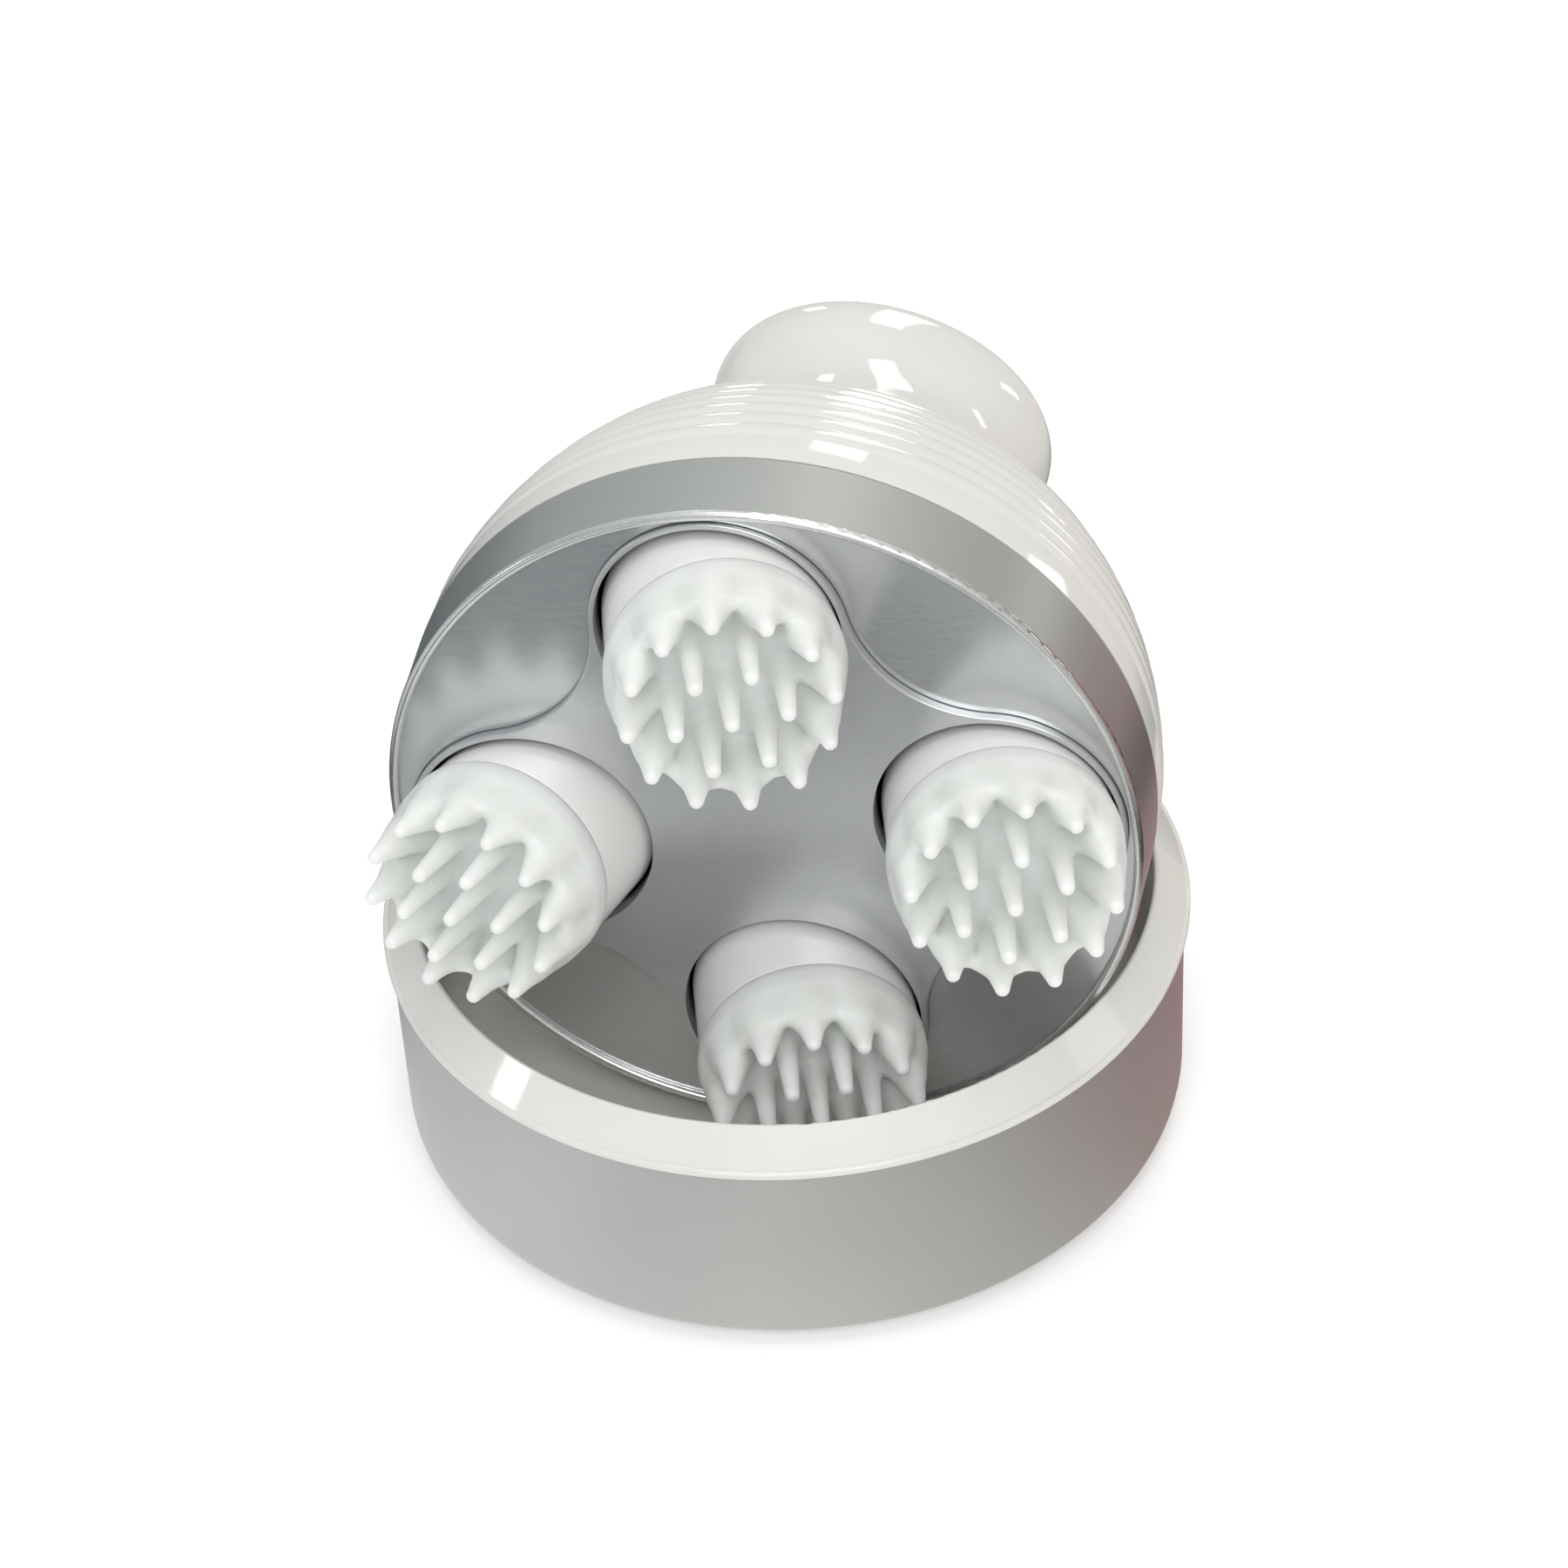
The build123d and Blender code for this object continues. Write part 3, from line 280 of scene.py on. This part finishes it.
# In millimetres: heights are along the leaning axis from the pivot, and circles and radii are about it. Blend
# is how far the fingers melt into one another, and Grain the width of a cell of the skin's grid.
pad_sizes = {
    "Plug Start": 4.3,
    "Plug Radius": 12.7,
    "Seat": 7.82,
    "Plug Overlap": 1.0,
    "Outer Radius": 14.35,
    "Base Top": 11.0,
    "Base Edge": 0.45,
    "Floor Radius": 12.4,
    "Floor": 12.2,
    "Inner Edge": 0.3,
    "Wall Foot": 1.6,
    "Wall Top": 0.8,
    "Wall Top Circle": 12.6,
    "Valley": 15.8,
    "Outer Count": 12.0,
    "Outer Root Circle": 11.4,
    "Outer Root Height": 12.5,
    "Outer Root Radius": 2.9,
    "Outer Tip Circle": 12.55,
    "Outer Tip Height": 20.45,
    "Outer Tip Radius": 0.95,
    "Inner Count": 6.0,
    "Inner Circle": 6.8,
    "Inner Root Radius": 1.65,
    "Inner Tip Height": 22.35,
    "Inner Tip Radius": 0.95,
    "Blend": 3.0,
    "Grain": 0.28,
    "Margin": 1.0,
    "Headroom": 2.0,
}


def pad_tree(material):
    """A silicone pad, as the skin of a field: how far each point lies outside the pad, in millimetres."""
    tree = bpy.data.node_groups.new("finger_pad", "GeometryNodeTree")
    tree.interface.new_socket("Geometry", in_out="OUTPUT", socket_type="NodeSocketGeometry")
    for name, value in pad_sizes.items():
        tree.interface.new_socket(name, in_out="INPUT", socket_type="NodeSocketFloat").default_value = value
    add = functools.partial(add_node, tree)
    # Kinds of node: sums on numbers, sums on vectors, three numbers as one vector, and an even change.
    number = "ShaderNodeMath"
    vector = "ShaderNodeVectorMath"
    join = "ShaderNodeCombineXYZ"
    ramp = "ShaderNodeMapRange"
    size = add("NodeGroupInput").node.outputs
    x, y, z = add("ShaderNodeSeparateXYZ", add("GeometryNodeInputPosition")).node.outputs
    radius = add(vector, add(join, x, y), operation="LENGTH")
    bearing = add(number, y, x, operation="ARCTAN2")

    def disc(outer, low, high, edge):
        """A disc about the axis, from one height to another, with a rounded edge."""
        past_side = add(number, radius, add(number, outer, edge, operation="SUBTRACT"), operation="SUBTRACT")
        past_top = add(number, z, add(number, high, edge, operation="SUBTRACT"), operation="SUBTRACT")
        past_foot = add(number, add(number, low, edge, operation="ADD"), z, operation="SUBTRACT")
        past_end = add(number, past_top, past_foot, operation="MAXIMUM")
        past_both = add(vector, add(join, past_side, past_end), (0.0, 0.0, 0.0), operation="MAXIMUM")
        outside = add(vector, past_both, operation="LENGTH")
        inside = add(number, add(number, past_side, past_end, operation="MAXIMUM"), 0.0, operation="MINIMUM")
        return add(number, add(number, outside, inside, operation="ADD"), edge, operation="SUBTRACT")

    def finger(along, across, low, high, root, tip, root_radius, tip_radius):
        """A tapered, round-ended finger from one height to another. Root and tip are its ends' circles."""
        circle = add(ramp, z, low, high, root, tip)
        height = add(ramp, z, low, high, low, high)
        width = add(ramp, z, low, high, root_radius, tip_radius)
        away = add(vector, add(join, along, across, z), add(join, circle, 0.0, height), operation="DISTANCE")
        return add(number, away, width, operation="SUBTRACT")

    def folded(count):
        """The point's place along and across the middle of its own sector, of count equal ones."""
        sector = add(number, math.tau, count, operation="DIVIDE")
        turns = add(number, add(number, bearing, sector, operation="DIVIDE"), operation="ROUND")
        angle = add(number, bearing, add(number, turns, sector, operation="MULTIPLY"), operation="SUBTRACT")
        return [add(number, radius, add(number, angle, operation=part), operation="MULTIPLY")
                for part in ("COSINE", "SINE")]

    # The plug fills the collar, the base and floor stand on its seat, and a low wall runs round them.
    plug_end = add(number, size["Seat"], size["Plug Overlap"], operation="ADD")
    plug = disc(size["Plug Radius"], size["Plug Start"], plug_end, size["Inner Edge"])
    base = disc(size["Outer Radius"], size["Seat"], size["Base Top"], size["Base Edge"])
    floor = disc(size["Floor Radius"], size["Seat"], size["Floor"], size["Inner Edge"])
    wall_low = add(number, size["Seat"], size["Wall Foot"], operation="ADD")
    wall_high = add(number, size["Valley"], size["Wall Top"], operation="SUBTRACT")
    wall_circle = add(number, size["Outer Radius"], size["Wall Foot"], operation="SUBTRACT")
    wall = finger(radius, 0.0, wall_low, wall_high, wall_circle, size["Wall Top Circle"], size["Wall Foot"],
                  size["Wall Top"])
    outer = finger(*folded(size["Outer Count"]), size["Outer Root Height"], size["Outer Tip Height"],
                   size["Outer Root Circle"], size["Outer Tip Circle"], size["Outer Root Radius"],
                   size["Outer Tip Radius"])
    inner = finger(*folded(size["Inner Count"]), size["Floor"], size["Inner Tip Height"],
                   size["Inner Circle"], size["Inner Circle"], size["Inner Root Radius"],
                   size["Inner Tip Radius"])
    centre = finger(radius, 0.0, size["Floor"], size["Inner Tip Height"], 0.0, 0.0, size["Inner Root Radius"],
                    size["Inner Tip Radius"])
    raised = add(number, base, floor, operation="MINIMUM")
    walled = add(number, raised, wall, size["Blend"], operation="SMOOTH_MIN")
    skin = add(number, plug, walled, operation="MINIMUM")
    for part in (outer, inner, centre):
        skin = add(number, skin, part, size["Blend"], operation="SMOOTH_MIN")

    # The field is read on a grid that reaches past the pad on every side.
    reach = add(number, size["Outer Radius"], size["Margin"], operation="ADD")
    minus_reach = add(number, reach, -1.0, operation="MULTIPLY")
    top = add(number, size["Inner Tip Height"], size["Headroom"], operation="ADD")
    bottom = add(number, size["Plug Start"], size["Margin"], operation="SUBTRACT")
    cells_across, cells_up = [
        add(number, add(number, high, low, operation="SUBTRACT"), size["Grain"], operation="DIVIDE")
        for low, high in ((minus_reach, reach), (bottom, top))]
    skin_level = 1.0
    volume = add("GeometryNodeVolumeCube", add(number, skin_level, skin, operation="SUBTRACT"), 0.0,
                 add(join, minus_reach, minus_reach, bottom), add(join, reach, reach, top), cells_across,
                 cells_across, cells_up)
    mesh = add("GeometryNodeVolumeToMesh", Volume=volume, Threshold=skin_level)
    smooth = add("GeometryNodeSetShadeSmooth", Geometry=mesh)
    real = add("GeometryNodeRealizeInstances", Geometry=smooth)
    add("NodeGroupOutput", add("GeometryNodeSetMaterial", Geometry=real, Material=material))
    return tree


def head_place(name):
    """Where a pad's own frame stands: on its spindle, leaning, and turned to its fingers' phase."""
    joint = joints[f"head_{name}_spin"]
    outward = Vector(joint["axis"]).normalized()
    sideways = Vector((0, 0, 1)).cross(outward).normalized()
    face = Matrix((sideways, outward.cross(sideways), outward)).transposed().to_4x4()
    pivot = Vector(joint["pos_m"]) - outward * pivot_depth
    turn = Matrix.Rotation(math.radians(lean_directions[name]), 4, "Z")
    lean = Matrix.Rotation(math.radians(head_lean), 4, "Y")
    phase = Matrix.Rotation(math.radians(finger_phases[name] - lean_directions[name]), 4, "Z")
    return Matrix.Translation(pivot) @ face @ turn @ lean @ phase @ Matrix.Scale(MM, 4)


def baked(tree):
    """The plain mesh that a tree makes."""
    holder = bpy.data.objects.new("holder", bpy.data.meshes.new("holder"))
    bpy.context.scene.collection.objects.link(holder)
    modifier = holder.modifiers.new("shape", "NODES")
    modifier.node_group = tree
    depsgraph = bpy.context.evaluated_depsgraph_get()
    mesh = bpy.data.meshes.new_from_object(holder.evaluated_get(depsgraph))
    holder.modifiers.remove(modifier)
    bpy.data.objects.remove(holder)
    return mesh


pad_mesh = baked(pad_tree(silicone))
for name in head_names:
    mesh = pad_mesh.copy()
    mesh.transform(head_place(name))
    pad = bpy.data.objects.new(f"silicone_pad_{name}", mesh)
    bpy.context.scene.collection.objects.link(pad)
    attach(pad, f"head_{name}")
    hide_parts(f"finger_pad_{name}")


# ---------------------------------------------------------------- floor

floor_half = 3000 * MM

# Painted reflection: in a polished surface the studio floor shows a painted pool about the stand, pale in the
# middle with a dark ring round it, by distance as a share of the pool's reach, and round it painted room
# colours, grey, mauve and dark, by bearing as a share of a turn. Only glossy rays see this painted glow.
painted_pool_reach = 300 * MM
painted_pool_stops = [(0.20, "#fafaf8"), (0.25, "#f0f0ee"), (0.36, "#ffffff"), (0.39, "#787c80"), (0.42, "#565a5e"),
              (0.45, "#3e4246"), (0.52, "#4c5054"), (0.66, "#d8d8d6")]
painted_room_stops = [(0.00, "#e8eaec"), (0.10, "#fbfcfc"), (0.16, "#f2f4f6"), (0.23, "#f4f4f3"), (0.35, "#cfcecc"),
              (0.436, "#b39e9c"), (0.53, "#b0868e"), (0.58, "#c49da2"), (0.61, "#e4d2d0"), (0.66, "#f4f2f0"),
              (0.795, "#f4f4f2"), (0.83, "#858a91"), (0.85, "#6c7178"), (0.92, "#7c838a"), (1.0, "#e8eaec")]

floor_mesh = bpy.data.meshes.new("floor")
floor_corners = [(-floor_half, -floor_half, 0), (floor_half, -floor_half, 0), (floor_half, floor_half, 0),
                 (-floor_half, floor_half, 0)]
floor_mesh.from_pydata(floor_corners, [], [(0, 1, 2, 3)])
floor = bpy.data.objects.new("floor", floor_mesh)
bpy.context.scene.collection.objects.link(floor)
floor_paper_painted_reflection, tree, shader = new_material("paper_pale_painted_reflection", "#ececec", Roughness=0.7,
                                         Emission_Color=linear("#ffffff"), Emission_Strength=0.25)
spot = add_node(tree, "ShaderNodeTexCoord", take="Object")
spot_far = add_node(tree, "ShaderNodeVectorMath", spot, operation="LENGTH")
share = add_node(tree, "ShaderNodeMapRange", Value=spot_far, From_Max=painted_pool_reach)
bearing = add_node(tree, "ShaderNodeTexGradient", spot, take="Fac", gradient_type="RADIAL")
painted_pool = add_node(tree, "ShaderNodeValToRGB", share, stops=painted_pool_stops)
painted_room = add_node(tree, "ShaderNodeValToRGB", bearing, stops=painted_room_stops)
painted_reflection = add_node(tree, "ShaderNodeMix", 1.0, painted_pool, painted_room, data_type="RGBA", blend_type="MULTIPLY")
# Painted reflection: glossy rays see the painted pool and room colours as a glow. Other rays see the pale
# paper, which glows a little and evenly.
painted_reflection_glow = add_node(tree, "ShaderNodeEmission", painted_reflection)
rays = add_node(tree, "ShaderNodeLightPath", take="Is Glossy Ray")
pick = add_node(tree, "ShaderNodeMixShader", rays, shader.outputs["BSDF"], painted_reflection_glow)
tree.links.new(pick, tree.nodes["Material Output"].inputs["Surface"])
floor_mesh.materials.append(floor_paper_painted_reflection)


# ---------------------------------------------------------------- light

# The room's walls, from left to right, and its ceiling, from the horizon up.
wall_stops = [(0.0, "#b4bcc2"), (0.5, "#f4f3f0"), (0.8, "#efedea"), (1.0, "#9c9692")]
ceiling_stops = [(0.0, "#dadada"), (0.75, "#f6f6f6")]
room_strength = 0.93

world = bpy.data.worlds.new("studio")
bpy.context.scene.world = world
world.use_nodes = True
sky = world.node_tree
direction = add_node(sky, "ShaderNodeTexCoord", take="Generated")
east, _, up = add_node(sky, "ShaderNodeSeparateXYZ", direction).node.outputs
sides = add_node(sky, "ShaderNodeMapRange", Value=east, From_Min=-1.0)
walls = add_node(sky, "ShaderNodeValToRGB", sides, stops=wall_stops)
ceiling = add_node(sky, "ShaderNodeValToRGB", up, stops=ceiling_stops)
room_light = add_node(sky, "ShaderNodeMix", 1.0, walls, ceiling, data_type="RGBA", blend_type="MULTIPLY")
sky.links.new(room_light, sky.nodes["Background"].inputs["Color"])
sky.nodes["Background"].inputs["Strength"].default_value = room_strength


def softbox(name, aim, away, width, height, watts, colour="#ffffff"):
    """A rectangular light, away from the place that it is aimed at. Its measures are in millimetres."""
    light = bpy.data.lights.new(name, "AREA")
    light.shape = "RECTANGLE"
    light.size = width * MM
    light.size_y = height * MM
    light.energy = watts
    light.color = linear(colour)[:3]
    made = bpy.data.objects.new(name, light)
    bpy.context.scene.collection.objects.link(made)
    made.location = (Vector(aim) + Vector(away)) * MM
    made.rotation_euler = (-Vector(away)).to_track_quat("-Z", "Y").to_euler()


# Each light is aimed at one of three places. The small ones are windows, which show as bright panes in the
# knob, the dome and the rim.
on_face, on_knob, on_rim = (0, -20, 55), (18, 60, 75), (-36, -38.5, 34)
daylight = "#fffdf2"
softbox("front", on_face, (0, -900, 950), 900, 500, 6.2)
softbox("overhead", on_face, (0, 0, 1045), 600, 400, 2.6)
softbox("window_back", on_knob, (220, 840, 270), 160, 460, 0.9, daylight)
softbox("window_far", on_knob, (-90, 970, 120), 80, 140, 0.15, daylight)
softbox("window_side", on_knob, (770, 630, 80), 70, 180, 0.17, daylight)
softbox("window_left", on_rim, (-930, -140, 330), 140, 70, 0.25, daylight)
softbox("window_right", on_rim, (950, -60, 280), 250, 200, 0.16, daylight)
